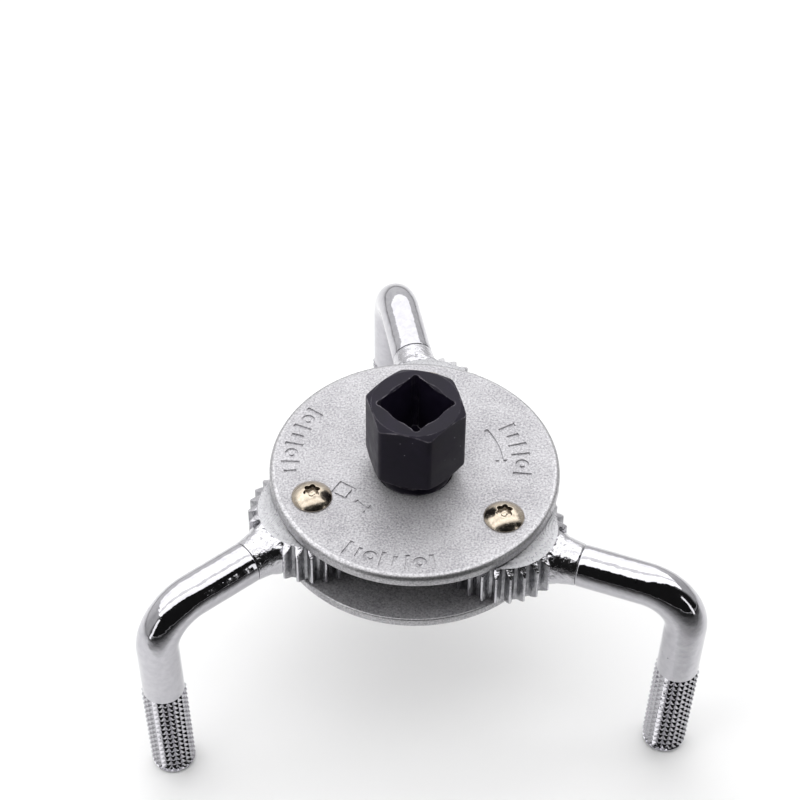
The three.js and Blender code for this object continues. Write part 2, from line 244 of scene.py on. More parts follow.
class Nodes:
    """Short calls for the nodes used here, in a material's or the world's node tree."""

    def __init__(self, tree):
        self.tree = tree
        self.place = tree.nodes.new("ShaderNodeTexCoord").outputs["Object"]

    def link(self, value, socket):
        if isinstance(value, bpy.types.NodeSocket):
            self.tree.links.new(value, socket)
        else:
            socket.default_value = value

    def math(self, operation, a, b=0.0, c=0.0):
        node = self.tree.nodes.new("ShaderNodeMath")
        node.operation = operation
        for value, socket in zip((a, b, c), node.inputs):
            self.link(value, socket)
        return node.outputs[0]

    def noise(self, size, detail=3.0, roughness=0.55, stretch=(1, 1, 1)):
        """Noise from 0 to 1 with features of about size millimetres."""
        scale = self.tree.nodes.new("ShaderNodeVectorMath")
        scale.operation = "MULTIPLY"
        self.tree.links.new(self.place, scale.inputs[0])
        scale.inputs[1].default_value = [s / (size * MM) for s in stretch]
        node = self.tree.nodes.new("ShaderNodeTexNoise")
        node.inputs["Scale"].default_value = 1.0
        node.inputs["Detail"].default_value = detail
        node.inputs["Roughness"].default_value = roughness
        self.tree.links.new(scale.outputs[0], node.inputs["Vector"])
        return node.outputs["Fac"]

    def cells(self, size):
        """Distance to the nearest of scattered points, about size millimetres apart."""
        node = self.tree.nodes.new("ShaderNodeTexVoronoi")
        node.inputs["Scale"].default_value = 1 / (size * MM)
        self.tree.links.new(self.place, node.inputs["Vector"])
        return node.outputs["Distance"]

    def ramp(self, value, *stops):
        """A ramp from (position, grey or colour) stops."""
        node = self.tree.nodes.new("ShaderNodeValToRGB")
        elements = node.color_ramp.elements
        while len(elements) < len(stops):
            elements.new(0.5)
        for element, (position, shade) in zip(elements, stops):
            element.position = position
            colour = shade if isinstance(shade, tuple) else (shade,) * 3
            element.color = (*colour, 1)
        self.link(value, node.inputs["Fac"])
        return node.outputs["Color"]

    def remap(self, value, low, high, to_low, to_high):
        node = self.tree.nodes.new("ShaderNodeMapRange")
        self.link(value, node.inputs["Value"])
        for name, number in (("From Min", low), ("From Max", high),
                             ("To Min", to_low), ("To Max", to_high)):
            node.inputs[name].default_value = number
        return node.outputs["Result"]

    def radius(self):
        """Distance from the object's own Z axis, in millimetres."""
        split = self.tree.nodes.new("ShaderNodeSeparateXYZ")
        self.tree.links.new(self.place, split.inputs[0])
        x = self.math("POWER", split.outputs["X"], 2)
        y = self.math("POWER", split.outputs["Y"], 2)
        return self.math("MULTIPLY", self.math("SQRT", self.math("ADD", x, y)), 1 / MM)

    def edges(self, width):
        """1 along the edges of the shape, falling to 0 within width millimetres."""
        rounded = self.tree.nodes.new("ShaderNodeBevel")
        rounded.samples = 6
        rounded.inputs["Radius"].default_value = width * MM
        plain = self.tree.nodes.new("ShaderNodeNewGeometry").outputs["True Normal"]
        dot = self.tree.nodes.new("ShaderNodeVectorMath")
        dot.operation = "DOT_PRODUCT"
        self.link(rounded.outputs["Normal"], dot.inputs[0])
        self.link(plain, dot.inputs[1])
        return self.remap(dot.outputs["Value"], 0.99, 0.93, 0, 1)

    def mix(self, blend, factor, a, b):
        node = self.tree.nodes.new("ShaderNodeMix")
        node.data_type = "RGBA"
        node.blend_type = blend
        for name, value in (("Factor", factor), ("A", a), ("B", b)):
            sockets = [socket for socket in node.inputs if socket.name == name]
            kind = "VALUE" if name == "Factor" else "RGBA"
            self.link(value, next(x for x in sockets if x.type == kind))
        return next(x for x in node.outputs if x.type == "RGBA")


class Shader(Nodes):
    """A node material round one Principled shader."""

    def __init__(self, name):
        self.material = bpy.data.materials.new(name)
        self.material.use_nodes = True
        super().__init__(self.material.node_tree)
        self.surface = self.tree.nodes["Principled BSDF"]

    def set(self, **values):
        for name, value in values.items():
            self.link(value, self.surface.inputs[name.replace("_", " ")])
        return self

    def bump(self, height, depth):
        """Surface relief of the given depth in millimetres; calls stack."""
        node = self.tree.nodes.new("ShaderNodeBump")
        node.inputs["Strength"].default_value = 1.0
        node.inputs["Distance"].default_value = depth * MM
        self.link(height, node.inputs["Height"])
        normal = self.surface.inputs["Normal"]
        if normal.is_linked:
            self.tree.links.new(normal.links[0].from_socket, node.inputs["Normal"])
        self.tree.links.new(node.outputs["Normal"], normal)
        return self


def blasted_nickel():
    """Shot-blasted steel under satin nickel: an even sandy grain, faintly patchy."""
    s = Shader("blasted_nickel")
    grain = s.noise(0.5, detail=4, roughness=0.7)
    patches = s.noise(9, detail=2)
    grits = s.cells(0.55)
    tint = s.math("MULTIPLY_ADD", grain, 0.8, s.math("MULTIPLY", patches, 0.2))
    s.set(Metallic=0.62)
    s.set(Base_Color=s.ramp(tint, (0.36, (0.225, 0.220, 0.236)), (0.62, (0.545, 0.538, 0.558))))
    s.set(Roughness=s.remap(grain, 0.3, 0.7, 0.55, 0.38))
    s.bump(grain, 0.07)
    s.bump(grits, 0.03)
    return s.material


def turned_rim():
    """The plates' rounded rims: smoother than the blasted faces, with faint turning lines."""
    s = Shader("turned_rim")
    grain = s.noise(0.45, detail=4, roughness=0.65)
    lines = s.noise(0.3, detail=2, stretch=(0.06, 0.06, 1))
    s.set(Metallic=0.9)
    s.set(Base_Color=s.ramp(grain, (0.36, (0.30, 0.296, 0.31)), (0.60, (0.54, 0.535, 0.55))))
    s.set(Roughness=s.remap(grain, 0.3, 0.7, 0.45, 0.3))
    s.bump(lines, 0.02)
    s.bump(grain, 0.02)
    return s.material


def mirror_chrome():
    """Polished chrome with faint waviness and haze, fine pits and a few dark specks."""
    s = Shader("mirror_chrome")
    waves = s.noise(3.6, detail=2.5)
    haze = s.noise(1.6, detail=4)
    pits = s.cells(1.3)
    s.set(Metallic=1.0)
    clean = s.ramp(haze, (0.35, (0.490, 0.484, 0.515)), (0.6, (0.550, 0.544, 0.572)))
    specks = s.ramp(s.cells(4.2), (0.035, 0.22), (0.055, 1.0))
    s.set(Base_Color=s.mix("MULTIPLY", 1.0, clean, specks))
    s.set(Roughness=s.remap(haze, 0.4, 0.75, 0.035, 0.12))
    s.bump(waves, 0.11)
    s.bump(s.remap(pits, 0.0, 0.09, 0.0, 1.0), 0.006)
    return s.material


def forged_nickel():
    """Bright plating over an uneven forged skin."""
    s = Shader("forged_nickel")
    lumps = s.noise(0.95, detail=2.5)
    fine = s.noise(0.35, detail=3)
    s.set(Metallic=1.0)
    s.set(Base_Color=s.ramp(fine, (0.35, (0.50, 0.494, 0.525)), (0.65, (0.62, 0.614, 0.64))))
    s.set(Roughness=s.remap(lumps, 0.35, 0.7, 0.1, 0.22))
    s.bump(lumps, 0.15)
    s.bump(fine, 0.012)
    return s.material


def turned_nickel():
    """Plated faces with the rings that a lathe tool leaves."""
    s = Shader("turned_nickel")
    radius = s.radius()
    wobble = s.noise(4, detail=2)
    path = s.math("ADD", radius, s.math("MULTIPLY", wobble, 0.12))
    rings = s.math("SINE", s.math("MULTIPLY", path, TAU / 0.34))
    broad = s.math("SINE", s.math("MULTIPLY", path, TAU / 1.9))
    worn = s.noise(0.7, detail=4)
    s.set(Metallic=1.0)
    s.set(Base_Color=s.ramp(worn, (0.3, (0.33, 0.33, 0.345)), (0.65, (0.48, 0.48, 0.495))))
    s.set(Roughness=s.remap(worn, 0.3, 0.7, 0.24, 0.38))
    s.bump(rings, 0.022)
    s.bump(broad, 0.018)
    s.bump(worn, 0.02)
    return s.material


def cut_teeth():
    """Tooth flanks: dull plating over the marks of the cutter."""
    s = Shader("cut_teeth")
    lines = s.noise(0.3, detail=3, stretch=(1, 1, 0.08))
    stain = s.noise(1.5, detail=3)
    s.set(Metallic=1.0)
    s.set(Base_Color=s.ramp(stain, (0.3, (0.20, 0.20, 0.212)), (0.7, (0.40, 0.40, 0.418))))
    s.set(Roughness=s.remap(lines, 0.3, 0.7, 0.22, 0.36))
    s.bump(lines, 0.03)
    return s.material


def black_phosphate():
    """Matt violet-black phosphate: cloudy, worn grey on its edges, with a few bright specks."""
    s = Shader("black_phosphate")
    clouds = s.noise(4, detail=4)
    fine = s.noise(0.22, detail=3)
    specks = s.cells(3.4)
    cover = s.ramp(clouds, (0.3, (0.0050, 0.0036, 0.0092)), (0.7, (0.0105, 0.0080, 0.0175)))
    bare = s.ramp(specks, (0.03, (0.16, 0.16, 0.18)), (0.05, (0.0, 0.0, 0.0)))
    worn = s.math("MULTIPLY", s.edges(0.5), s.remap(s.noise(2.4), 0.42, 0.62, 0.1, 1))
    shade = s.mix("ADD", 1.0, cover, bare)
    s.set(Base_Color=s.mix("MIX", worn, shade, (0.15, 0.14, 0.16, 1)), Metallic=0.0)
    s.set(Roughness=s.remap(clouds, 0.3, 0.7, 0.36, 0.5))
    s.surface.inputs["Specular IOR Level"].default_value = 0.17
    s.bump(fine, 0.018)
    return s.material


def warm_nickel():
    """Polished nickel with a champagne tint on the screws."""
    s = Shader("warm_nickel")
    haze = s.noise(0.8, detail=4)
    s.set(Metallic=1.0)
    s.set(Base_Color=s.ramp(haze, (0.3, (0.46, 0.39, 0.31)), (0.7, (0.60, 0.53, 0.44))))
    s.set(Roughness=s.remap(haze, 0.35, 0.7, 0.15, 0.28))
    s.bump(haze, 0.012)
    return s.material


def oiled_steel():
    """Bare turned steel inside the tool, darker and a little oily."""
    s = Shader("oiled_steel")
    stain = s.noise(2.2, detail=4)
    rings = s.math("SINE", s.math("MULTIPLY", s.radius(), TAU / 0.4))
    s.set(Metallic=1.0)
    s.set(Base_Color=s.ramp(stain, (0.3, (0.26, 0.25, 0.25)), (0.7, (0.5, 0.49, 0.48))))
    s.set(Roughness=s.remap(stain, 0.3, 0.7, 0.25, 0.45))
    s.bump(rings, 0.008)
    return s.material


def painted_shade_recess():
    """The screw recess walls: plating darkened with painted shade, blotchy in tone and roughness."""
    s = Shader("painted_shade_recess")
    shade_blotches = s.noise(0.7, detail=3)
    s.set(Metallic=1.0)
    # Dark, warm base colour: painted shade inside the deep recess.
    s.set(Base_Color=s.ramp(shade_blotches, (0.35, (0.07, 0.055, 0.045)), (0.7, (0.22, 0.18, 0.14))))
    s.set(Roughness=s.remap(shade_blotches, 0.3, 0.7, 0.25, 0.5))
    s.bump(shade_blotches, 0.02)
    return s.material


PLATE_FINISH = blasted_nickel()
RIM = turned_rim()
CHROME = mirror_chrome()
FORGED = forged_nickel()
TURNED = turned_nickel()
CUT = cut_teeth()
PHOSPHATE = black_phosphate()
SCREW_FINISH = warm_nickel()
STEEL = oiled_steel()
RECESS = painted_shade_recess()


# ------------------------------------------------------------------ plates

PLATE_FILLET = 1.3
PLATE_LIP = 0.35
HOLE_EDGE = 0.3
SPINDLE_HOLE = 9.2
JOURNAL_HOLE = 6.3
SCREW_HOLE = 2.8
MARK_WIDTH = 1.05
MARK_DEPTH = 0.35
MARK_EDGE = 0.16
ARROW_HEAD = 2.6
ARROW_BARB = 1.5
RING_MARK = 1.1
TALL, SHORT, RING = 4.4, 3.0, 0


def plate(name, floor, rounded_up, hole):
    """A disc with a full fillet on its outer face and a small one on its inner face."""
    rim = arc(PLATE_LIP, -90, 0, 4, (PLATE_RADIUS - PLATE_LIP, PLATE_LIP))
    rim += arc(PLATE_FILLET, 0, 90, 10,
               (PLATE_RADIUS - PLATE_FILLET, PLATE_THICKNESS - PLATE_FILLET))
    bore = arc(HOLE_EDGE, 90, 180, 3, (hole + HOLE_EDGE, PLATE_THICKNESS - HOLE_EDGE))
    bore.append((hole, 0))
    profile = rim + bore
    if not rounded_up:
        profile = [(r, PLATE_THICKNESS - z) for r, z in profile]
    body = turned(name, [(r, z + floor) for r, z in profile], 192)
    for pivot in PIVOTS:
        hole_outline = arc(SCREW_HOLE, 0, 360, 32, pivot.xy)[:-1]
        boolean(body, prism("hole", hole_outline, floor - 1, floor + PLATE_THICKNESS + 1),
                "DIFFERENCE")
    return body


def stroke(points, width):
    """The outline of a line of points drawn with a width and square ends."""
    left, right = [], []
    for k, (x, y) in enumerate(points):
        before = Vector(points[max(k - 1, 0)])
        after = Vector(points[min(k + 1, len(points) - 1)])
        across = (after - before).normalized().orthogonal() * width / 2
        left.append((x + across.x, y + across.y))
        right.append((x - across.x, y - across.y))
    return left + right[::-1]


def turn_arrow(radius, start, end):
    """A curved arrow's outline: an arc with a pointed head at its end."""
    direction = 1 if end > start else -1
    head = math.degrees(ARROW_HEAD / radius) * direction
    inner = arc(radius - MARK_WIDTH / 2, start, end - head, 14)
    outer = arc(radius + MARK_WIDTH / 2, end - head, start, 14)
    tip = arc(radius, end, end, 1)[:1]
    barb_in = arc(radius - ARROW_BARB, end - head, end - head, 1)[:1]
    barb_out = arc(radius + ARROW_BARB, end - head, end - head, 1)[:1]
    return inner + barb_in + tip + barb_out + outer


def graduations(radius, start, step, pattern):
    """Marks along an arc: bars of the given heights, or a small ring where it says RING."""
    marks = []
    for k, height in enumerate(pattern):
        angle = math.radians(start + step * k)
        unit = Vector((math.cos(angle), math.sin(angle)))
        if height != RING:
            ends = [unit * (radius + height / 2), unit * (radius - height / 2)]
            marks.append(mark_prism(stroke([tuple(p) for p in ends], MARK_WIDTH)))
        else:
            marks.append(mark_ring(unit * radius, RING_MARK, 32))
    return marks


def mark_prism(outline):
    """A mark's outline as a solid that reaches MARK_DEPTH into the top plate."""
    return prism("mark", outline, top_high.z - MARK_DEPTH, top_high.z + 1)


def mark_ring(centre, radius, sides, turn=0.0):
    """A closed band round a centre: a ring, or a square frame with four sides."""
    inner, outer = radius - MARK_WIDTH / 2, radius + MARK_WIDTH / 2
    floor, ceiling = top_high.z - MARK_DEPTH, top_high.z + 1
    band = turned("mark", [(inner, floor), (outer, floor), (outer, ceiling), (inner, ceiling)],
                  sides)
    place = Matrix.Translation(Vector((centre[0], centre[1], 0)) * MM)
    band.data.transform(place @ Matrix.Rotation(math.radians(turn), 4, "Z"))
    return band


def stamped_marks():
    """Plain stamped marks: graduations, turn arrows and a square for the drive."""
    marks = graduations(29.4, 152, 5.6, (TALL, RING, TALL, SHORT, TALL, RING, TALL, SHORT))
    marks += graduations(29.6, 246, 5.6, (TALL, SHORT, RING, TALL, SHORT, TALL, RING, TALL))
    marks += [mark_ring((-15.6, -10.0), 2.6, 4, 20), mark_prism(turn_arrow(17.6, 226, 246))]
    marks += graduations(25.4, 2, 7, (TALL, RING, TALL, TALL, SHORT, TALL))
    marks.append(mark_prism(turn_arrow(20.6, 42, 6)))
    return marks


def join_meshes(objects):
    """Merges separate closed objects into the first one."""
    bm = bmesh.new()
    for obj in objects:
        bm.from_mesh(obj.data)
    bm.to_mesh(objects[0].data)
    bm.free()
    for obj in objects[1:]:
        bpy.data.objects.remove(obj)
    return objects[0]


def mark_rim(body):
    """Gives a plate's rounded edge the rim's material; its flat faces have many corners."""
    for polygon in body.data.polygons:
        centre = polygon.center / MM
        on_rim = centre.xy.length > PLATE_RADIUS - PLATE_FILLET and len(polygon.vertices) < 8
        polygon.material_index = 1 if on_rim else 0


top_plate = plate("top_plate_shell", top_low.z, True, SPINDLE_HOLE)
boolean(top_plate, join_meshes(stamped_marks()), "DIFFERENCE")
bevel(top_plate, MARK_EDGE, angle=40)
smooth(top_plate)
mark_rim(top_plate)
finish_piece(top_plate, ["top_plate"], "carrier", [PLATE_FINISH, RIM])

bottom_plate = plate("bottom_plate_shell", bottom_low.z, False, JOURNAL_HOLE)
smooth(bottom_plate)
mark_rim(bottom_plate)
finish_piece(bottom_plate, ["bottom_plate"], "carrier", [PLATE_FINISH, RIM])


# ------------------------------------------------------------------ gears

GEAR_MODULE = 1.0
SUN_TEETH = 24
LEG_GEAR_TEETH = 28
PRESSURE_ANGLE = math.radians(20)
BACKLASH = 0.3
FLANK_START = 0.35
ROOT_FLARE = 0.22
ROOT_ROUND = 0.12
TOOTH_EDGE = 0.08
TOOTH_FACET = 2.25
TOOTH_FACET_SLOPE = math.tan(math.radians(31))
LEG_LEAN = math.radians(17.5)


def involute(angle):
    """The angle an involute has turned through where its pressure angle is angle."""
    return math.tan(angle) - angle


def gear_outline(teeth, tooth_angle):
    """Involute teeth with a rounded root, one of them centred at tooth_angle (radians)."""
    pitch = GEAR_MODULE * teeth / 2
    base = pitch * math.cos(PRESSURE_ANGLE)
    root, tip = pitch - 1.25 * GEAR_MODULE, pitch + GEAR_MODULE
    at_pitch = math.pi / (2 * teeth) - BACKLASH / 2 / pitch + involute(PRESSURE_ANGLE)
    start = max(base, root + FLANK_START)
    flank = []
    for k in range(7):
        radius = start + (tip - start) * k / 6
        flank.append((radius, at_pitch - involute(math.acos(min(1, base / radius)))))
    half_root = flank[0][1] + ROOT_FLARE / root
    sides = [(root, half_root + ROOT_ROUND / root), (root + 0.1, half_root)] + flank
    points = []
    for tooth in range(teeth):
        centre = tooth_angle + tooth * TAU / teeth
        for radius, half in sides:
            points.append((radius * math.cos(centre - half), radius * math.sin(centre - half)))
        for radius, half in reversed(sides):
            points.append((radius * math.cos(centre + half), radius * math.sin(centre + half)))
    return points


def spur_gear(name, teeth, tooth_angle, bore_outline):
    """A gear with a long flat facet on both ends of every tooth."""
    tip = GEAR_MODULE * (teeth / 2 + 1)
    body = prism(name, gear_outline(teeth, tooth_angle), GEAR_FLOOR, GEAR_CEILING)
    over = 0.2
    rise = (TOOTH_FACET + over) * TOOTH_FACET_SLOPE
    profile = [(0, GEAR_FLOOR), (tip - TOOTH_FACET, GEAR_FLOOR),
               (tip + over, GEAR_FLOOR + rise), (tip + over, GEAR_CEILING - rise),
               (tip - TOOTH_FACET, GEAR_CEILING), (0, GEAR_CEILING)]
    facets = turned("facets", profile, teeth)
    facets.data.transform(Matrix.Rotation(tooth_angle + math.pi / teeth, 4, "Z"))
    boolean(body, facets, "INTERSECT")
    bore = prism("bore", bore_outline, GEAR_FLOOR - 1, GEAR_CEILING + 1)
    boolean(body, bore, "DIFFERENCE")
    return bevel(body, TOOTH_EDGE, angle=30)


def sun_tooth_angle():
    """The sun gear's phase that meshes with a leg-gear tooth centred on each leg's axis."""
    pivot = PIVOTS[0]
    pitch = TAU / LEG_GEAR_TEETH
    towards_sun = math.pi - LEG_LEAN
    past = math.ceil(towards_sun / pitch) * pitch - towards_sun - pitch / 2
    return math.atan2(pivot.y, pivot.x) - past * LEG_GEAR_TEETH / SUN_TEETH


SHANK_FLATS = 14
SHANK_PLAY = 0.6
LEG_GEAR_BORE = 5.3
sun_gear = spur_gear("sun_gear_wheel", SUN_TEETH, sun_tooth_angle(),
                     rounded_polygon(6, SHANK_FLATS + SHANK_PLAY, 0, 0.3, 2))
smooth(sun_gear)
finish_piece(sun_gear, ["sun_gear"], "drive", [STEEL])


# ------------------------------------------------------------------ leg gears with forged necks

NECK_START = 9.0
NECK_END = 19.2
NECK_STEPS = 48
NECK_SIDES = 80
NECK_LUMPS = 0.20
NECK_SKIN = 0.05
NECK_ROUGH_TO = 13.5
NECK_CROWDING = 1.6
NECK_STATIONS = [  # distance from the pivot, half width, half height, squareness
    (9.0, 6.2, 5.5, 2.7), (13.2, 6.2, 5.5, 2.7), (14.0, 5.85, 5.45, 2.5), (15.0, 5.45, 5.35, 2.3),
    (17.0, 5.2, 5.2, 2.1), (18.95, 5.03, 5.03, 2.0), (19.2, 4.85, 4.85, 2.0)]


def superellipse(angle, half_width, half_height, power):
    """A point on an ellipse whose corners fill out as power grows past 2."""
    c, s = math.cos(angle), math.sin(angle)
    radius = (abs(c / half_width) ** power + abs(s / half_height) ** power) ** (-1 / power)
    return radius * c, radius * s


def neck_section(reach):
    """Half width, half height and squareness of the neck at a distance from the pivot."""
    for before, after in zip(NECK_STATIONS, NECK_STATIONS[1:]):
        if reach <= after[0]:
            share = (reach - before[0]) / (after[0] - before[0])
            return [p + (q - p) * share for p, q in zip(before[1:], after[1:])]
    return NECK_STATIONS[-1][1:]


def forged_neck(name):
    """The short round neck from the gear's rim to the leg, its skin slightly uneven."""
    points = []
    for i in range(NECK_STEPS + 1):
        share = i / NECK_STEPS
        s = NECK_START + (NECK_END - NECK_START) * (1 - (1 - share) ** NECK_CROWDING)
        half_width, half_height, power = neck_section(s)
        rough = max(0.25, 1 - max(0, s - NECK_ROUGH_TO) / 4)
        for k in range(NECK_SIDES):
            y, z = superellipse(k / NECK_SIDES * TAU, half_width, half_height, power)
            push = NECK_LUMPS * rough * noise.noise(Vector((s * 0.8, y * 0.5, z * 0.5)))
            push += NECK_SKIN * rough * noise.noise(Vector((s * 2.2, y * 1.9, z * 1.9)))
            grow = 1 + push / math.hypot(y, z)
            points.append((s, y * grow, GEAR_MIDDLE + z * grow))
    faces = [tuple(range(NECK_SIDES)),
             tuple(range(NECK_STEPS * NECK_SIDES, (NECK_STEPS + 1) * NECK_SIDES))]
    for i in range(NECK_STEPS):
        for k in range(NECK_SIDES):
            a, b = i * NECK_SIDES + k, i * NECK_SIDES + (k + 1) % NECK_SIDES
            faces.append((a, b, b + NECK_SIDES, a + NECK_SIDES))
    return new_object(name, points, faces)


def leg_gear_mesh():
    """The gear and its neck: forged skin, turned end faces and cut flanks."""
    bore = arc(LEG_GEAR_BORE, 0, 360, 64)[:-1]
    gear = spur_gear("leg_gear", LEG_GEAR_TEETH, 0, bore)
    boolean(gear, forged_neck("neck"), "UNION")
    smooth(gear, 35)
    tip = GEAR_MODULE * (LEG_GEAR_TEETH / 2 + 1)
    neck_side = NECK_STATIONS[0][1] + 0.3
    for polygon in gear.data.polygons:
        centre = polygon.center / MM
        on_neck = centre.x > tip - TOOTH_FACET and abs(centre.y) < neck_side
        upright = abs(polygon.normal.z) < 0.15
        if abs(polygon.normal.z) > 0.999:
            polygon.material_index = 1
        elif upright and not on_neck and centre.xy.length < tip - 0.12:
            polygon.material_index = 2
        else:
            polygon.material_index = 0
    return gear


# ------------------------------------------------------------------ legs

LEG_RADIUS = 5.0
LEG_BEND_RADIUS = 10.7
LEG_BEND_ANGLE = math.radians(92)
WELD_SEAM = 0.1
LEG_START = NECK_END + WELD_SEAM
LEG_END_ROUND = 0.3
KNURL_LENGTH = 28.8
KNURL_TIP_RADIUS = 5.35
KNURL_ROOT_RADIUS = 4.72
KNURL_COLUMNS = 22
KNURL_ROWS = 15
KNURL_LAND = 0.08
KNURL_END_BAND = 1.1
KNURL_STEP = 0.12
BAND_RADIUS = KNURL_TIP_RADIUS - 0.15
BAND_EDGE = 0.75
LEG_START_EDGE = 0.35
ROD_SIDES = KNURL_COLUMNS * 8

BEND_DROP = LEG_BEND_RADIUS * (1 - math.cos(LEG_BEND_ANGLE))
BEND_REACH = LEG_BEND_RADIUS * math.sin(LEG_BEND_ANGLE)
SHANK_LENGTH = (GEAR_MIDDLE - BEND_DROP - LEG_END) / math.sin(LEG_BEND_ANGLE)
BEND_START = LEG_REACH - BEND_REACH - SHANK_LENGTH * math.cos(LEG_BEND_ANGLE)
LEG_LEVEL = BEND_START - LEG_START
LEG_LENGTH = LEG_LEVEL + LEG_BEND_RADIUS * LEG_BEND_ANGLE + SHANK_LENGTH


def leg_point(along, around, radius):
    """A point on the leg from its distance along, its angle around and its radius."""
    angle = min(max(0, (along - LEG_LEVEL) / LEG_BEND_RADIUS), LEG_BEND_ANGLE)
    past = max(0, along - LEG_LEVEL - LEG_BEND_RADIUS * LEG_BEND_ANGLE)
    outward = Vector((math.sin(angle), 0, math.cos(angle)))
    forward = Vector((math.cos(angle), 0, -math.sin(angle)))
    centre = Vector((LEG_START + min(along, LEG_LEVEL), 0, GEAR_MIDDLE))
    if along > LEG_LEVEL:
        centre += LEG_BEND_RADIUS * (outward - Vector((0, 0, 1))) + past * forward
    side = Vector((0, 1, 0)) * math.sin(around) + outward * math.cos(around)
    return centre + radius * side


def rod_rings():
    """(distance along, radius) of the smooth part, from the weld to the knurl."""
    bend = LEG_BEND_RADIUS * LEG_BEND_ANGLE
    drop = SHANK_LENGTH - KNURL_LENGTH
    rings = []
    for k in range(6):
        angle = k / 5 * math.pi / 2
        rings.append((LEG_START_EDGE * (1 - math.cos(angle)),
                      LEG_RADIUS - LEG_END_ROUND * (1 - math.sin(angle))))
    level = LEG_LEVEL - LEG_START_EDGE
    rings += [(LEG_START_EDGE + level * k / 12, LEG_RADIUS) for k in range(1, 13)]
    rings += [(LEG_LEVEL + bend * k / 48, LEG_RADIUS) for k in range(1, 49)]
    rings += [(LEG_LEVEL + bend + drop * k / 14, LEG_RADIUS) for k in range(1, 15)]
    return rings


def end_rings():
    """The plain band under the knurl and the leg's rounded edge."""
    rings = [(LEG_LENGTH - KNURL_END_BAND + KNURL_STEP, BAND_RADIUS)]
    for k in range(9):
        angle = k / 8 * math.pi / 2
        rings.append((LEG_LENGTH - BAND_EDGE * (1 - math.sin(angle)),
                      BAND_RADIUS - BAND_EDGE * (1 - math.cos(angle))))
    return rings


def leg_mesh():
    """A bent rod whose end carries rows of small truncated pyramids."""
    points, faces = [], []

    def add_ring(along, radius, sides):
        first = len(points)
        points.extend(leg_point(along, k / sides * TAU, radius) for k in range(sides))
        return first

    def join(upper, lower, sides):
        for k in range(sides):
            j = (k + 1) % sides
            faces.append((upper + k, upper + j, lower + j, lower + k))

    def join_fine(fine, coarse):
        step = ROD_SIDES // KNURL_COLUMNS
        for k in range(KNURL_COLUMNS):
            edge = [fine + (k * step + i) % ROD_SIDES for i in range(step + 1)]
            faces.append((*edge, coarse + (k + 1) % KNURL_COLUMNS, coarse + k))

    rod = [add_ring(along, radius, ROD_SIDES) for along, radius in rod_rings()]
    faces.append(tuple(rod[0] + k for k in range(ROD_SIDES)))
    for upper, lower in zip(rod, rod[1:]):
        join(upper, lower, ROD_SIDES)

    start = LEG_LENGTH - KNURL_LENGTH + KNURL_STEP
    pitch = (KNURL_LENGTH - KNURL_END_BAND - KNURL_STEP) / KNURL_ROWS
    roots = [add_ring(start + row * pitch, KNURL_ROOT_RADIUS, KNURL_COLUMNS)
             for row in range(KNURL_ROWS + 1)]
    join_fine(rod[-1], roots[0])
    for row in range(KNURL_ROWS):
        for column in range(KNURL_COLUMNS):
            tips = []
            for u, v in ((-1, -1), (1, -1), (1, 1), (-1, 1)):
                turn = (column + 0.5 + u * KNURL_LAND) / KNURL_COLUMNS * TAU
                along = start + (row + 0.5 + v * KNURL_LAND) * pitch
                tips.append(len(points))
                points.append(leg_point(along, turn, KNURL_TIP_RADIUS))
            after = (column + 1) % KNURL_COLUMNS
            corners = [roots[row] + column, roots[row] + after,
                       roots[row + 1] + after, roots[row + 1] + column]
            faces.append(tuple(tips))
            for k in range(4):
                j = (k + 1) % 4
                faces.append((corners[k], corners[j], tips[j], tips[k]))

    end = [add_ring(along, radius, ROD_SIDES) for along, radius in end_rings()]
    join_fine(end[0], roots[-1])
    for upper, lower in zip(end, end[1:]):
        join(upper, lower, ROD_SIDES)
    faces.append(tuple(end[-1] + k for k in range(ROD_SIDES)))
    return new_object("leg", points, faces)


def copies(source, names, place):
    """One object per name with source's mesh or a copy of it, placed by place(index)."""
    objects = []
    for index, name in enumerate(names):
        obj = source if index == 0 else bpy.data.objects.new(name, source.data.copy())
        if index:
            bpy.context.scene.collection.objects.link(obj)
        obj.name = name
        obj.matrix_world = place(index)
        objects.append(obj)
    return objects


leg_gears = copies(leg_gear_mesh(), [f"leg_gear_forging_{leg}" for leg in LEGS], arm_matrix)
for leg, obj in zip(LEGS, leg_gears):
    finish_piece(obj, [f"leg_gear_{leg}"], f"arm_{leg}", [FORGED, TURNED, CUT])

rod = leg_mesh()
smooth(rod, 24)
for leg, obj in zip(LEGS, copies(rod, [f"leg_rod_{leg}" for leg in LEGS], arm_matrix)):
    finish_piece(obj, [f"leg_{leg}"], f"arm_{leg}", [CHROME])


# ------------------------------------------------------------------ drive spindle

HEX_FLATS = 21.0
HEX_HEIGHT = 18.0
HEX_AZIMUTH = -7.2
HEX_CORNER = 1.5
HEX_TOP_CHAMFER = 1.8
HEX_BOTTOM_CHAMFER = 2.0
SQUARE_SIDE = 12.7
SQUARE_AZIMUTH = 7.8
SQUARE_DEPTH = 17.0
LEAD_IN = 0.6
NECK_RADIUS = 8.9
UNDERCUT_RADIUS = 7.6
JOURNAL_RADIUS = 6.0
GROOVE_RADIUS = 5.3
NECK_TOP_EDGE = 0.5
UNDERCUT_FILLET = 0.8
SHOULDER_RADIUS = NECK_RADIUS - 2
JOURNAL_EDGE = 0.5
GROOVE_PLAY = 0.1
FORGED_EDGE = 0.55
RELIEF_RADIUS = 0.9
DRILL_RADIUS = SQUARE_SIDE / 2 - 0.4
DRILL_DEPTH = 1.6


